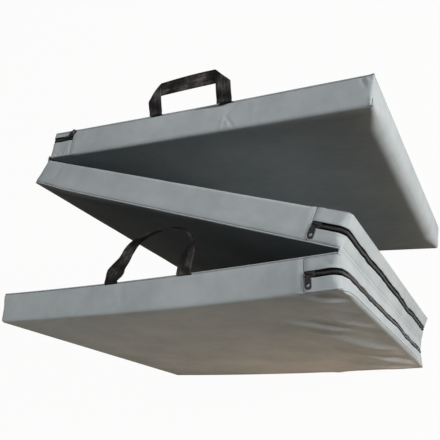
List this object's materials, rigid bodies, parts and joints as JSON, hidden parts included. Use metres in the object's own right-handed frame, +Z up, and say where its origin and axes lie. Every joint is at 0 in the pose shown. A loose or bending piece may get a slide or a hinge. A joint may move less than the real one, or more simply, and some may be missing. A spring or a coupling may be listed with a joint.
{
  "type": "folding gymnastics mat",
  "caption": "Zigzag folding foam exercise mat in zipped grey vinyl covers with webbing carry handles, standing half folded on its side.",
  "frame": {"origin": "middle of the middle panel's lower long side, on the floor the mat stands on", "axes": "+X along the middle panel towards the fold it shares with panel C, +Y through the middle panel towards panel A, +Z up, along both fold lines"},
  "size_m": [0.6298, 0.514, 0.631],
  "materials": {
    "vinyl": "satin PVC-coated cloth, fine grain",
    "foam": "closed-cell polyethylene foam",
    "webbing": "woven polypropylene webbing",
    "zip_tape": "woven zip tape",
    "zip_coil": "nylon coil",
    "zip_metal": "black painted zinc, semi-gloss"
  },
  "bodies": {
    "panel_b": {"foam_core_b": "foam", "face_sheet_b": "vinyl", "wrap_sheet_b": "vinyl", "zip_band_face_b": "vinyl", "zip_band_back_b": "vinyl", "zip_tape_face_b": "zip_tape", "zip_tape_back_b": "zip_tape", "zip_coil_b": "zip_coil", "hinge_seam_ab": "vinyl", "hinge_seam_bc": "vinyl"},
    "panel_a": {"foam_core_a": "foam", "face_sheet_a": "vinyl", "wrap_sheet_a": "vinyl", "zip_band_face_a": "vinyl", "zip_band_back_a": "vinyl", "zip_tape_face_a": "zip_tape", "zip_tape_back_a": "zip_tape", "zip_coil_a": "zip_coil", "handle_tail_left_a": "webbing", "handle_tail_right_a": "webbing"},
    "panel_c": {"foam_core_c": "foam", "face_sheet_c": "vinyl", "wrap_sheet_c": "vinyl", "zip_band_face_c": "vinyl", "zip_band_back_c": "vinyl", "zip_tape_face_c": "zip_tape", "zip_tape_back_c": "zip_tape", "zip_coil_c": "zip_coil", "handle_tail_left_c": "webbing", "handle_tail_right_c": "webbing"},
    "handle_a": {"handle_a": "webbing"},
    "handle_c": {"handle_c": "webbing"},
    "slider_a": {"zip_slider_a": "zip_metal"},
    "slider_b": {"zip_slider_b": "zip_metal"},
    "slider_c": {"zip_slider_c": "zip_metal"},
    "pull_a": {"zip_pull_a": "zip_metal"},
    "pull_b": {"zip_pull_b": "zip_metal"},
    "pull_c": {"zip_pull_c": "zip_metal"}
  },
  "joints": [
    {"name": "fold_ab", "type": "hinge", "parent": "panel_b", "child": "panel_a", "pos_m": [-0.301, 0.027, 0.3], "axis": [0, 0, 1], "range_deg": [-15, 165]},
    {"name": "fold_bc", "type": "hinge", "parent": "panel_b", "child": "panel_c", "pos_m": [0.301, -0.027, 0.3], "axis": [0, 0, 1], "range_deg": [-20, 160]},
    {"name": "handle_a_swing", "type": "hinge", "parent": "panel_a", "child": "handle_a", "pos_m": [-0.02428, 0.15726, 0.6012], "axis": [0.9659, 0.2588, 0], "range_deg": [-100, 135]},
    {"name": "handle_c_swing", "type": "hinge", "parent": "panel_c", "child": "handle_c", "pos_m": [0.01951, -0.13368, 0.6012], "axis": [0.9397, 0.342, 0], "range_deg": [0, 130]},
    {"name": "slider_a_slide", "type": "slide", "parent": "panel_a", "child": "slider_a", "axis": [-0.9659, -0.2588, 0], "range_m": [0, 0.012]},
    {"name": "slider_b_slide", "type": "slide", "parent": "panel_b", "child": "slider_b", "axis": [1, 0, 0], "range_m": [0, 0.018]},
    {"name": "slider_c_slide", "type": "slide", "parent": "panel_c", "child": "slider_c", "axis": [0.9397, 0.342, 0], "range_m": [0, 0.016]},
    {"name": "pull_a_swivel", "type": "hinge", "parent": "slider_a", "child": "pull_a", "pos_m": [-0.27155, 0.0732, 0.6022], "axis": [0, 0, 1], "range_deg": [-130, 50]},
    {"name": "pull_b_swivel", "type": "hinge", "parent": "slider_b", "child": "pull_b", "pos_m": [0.2546, 0, 0.6022], "axis": [0, 0, 1], "range_deg": [-180, 0]},
    {"name": "pull_c_swivel", "type": "hinge", "parent": "slider_c", "child": "pull_c", "pos_m": [0.26885, -0.0685, 0.6022], "axis": [0, 0, 1], "range_deg": [-180, 0]}
  ]
}
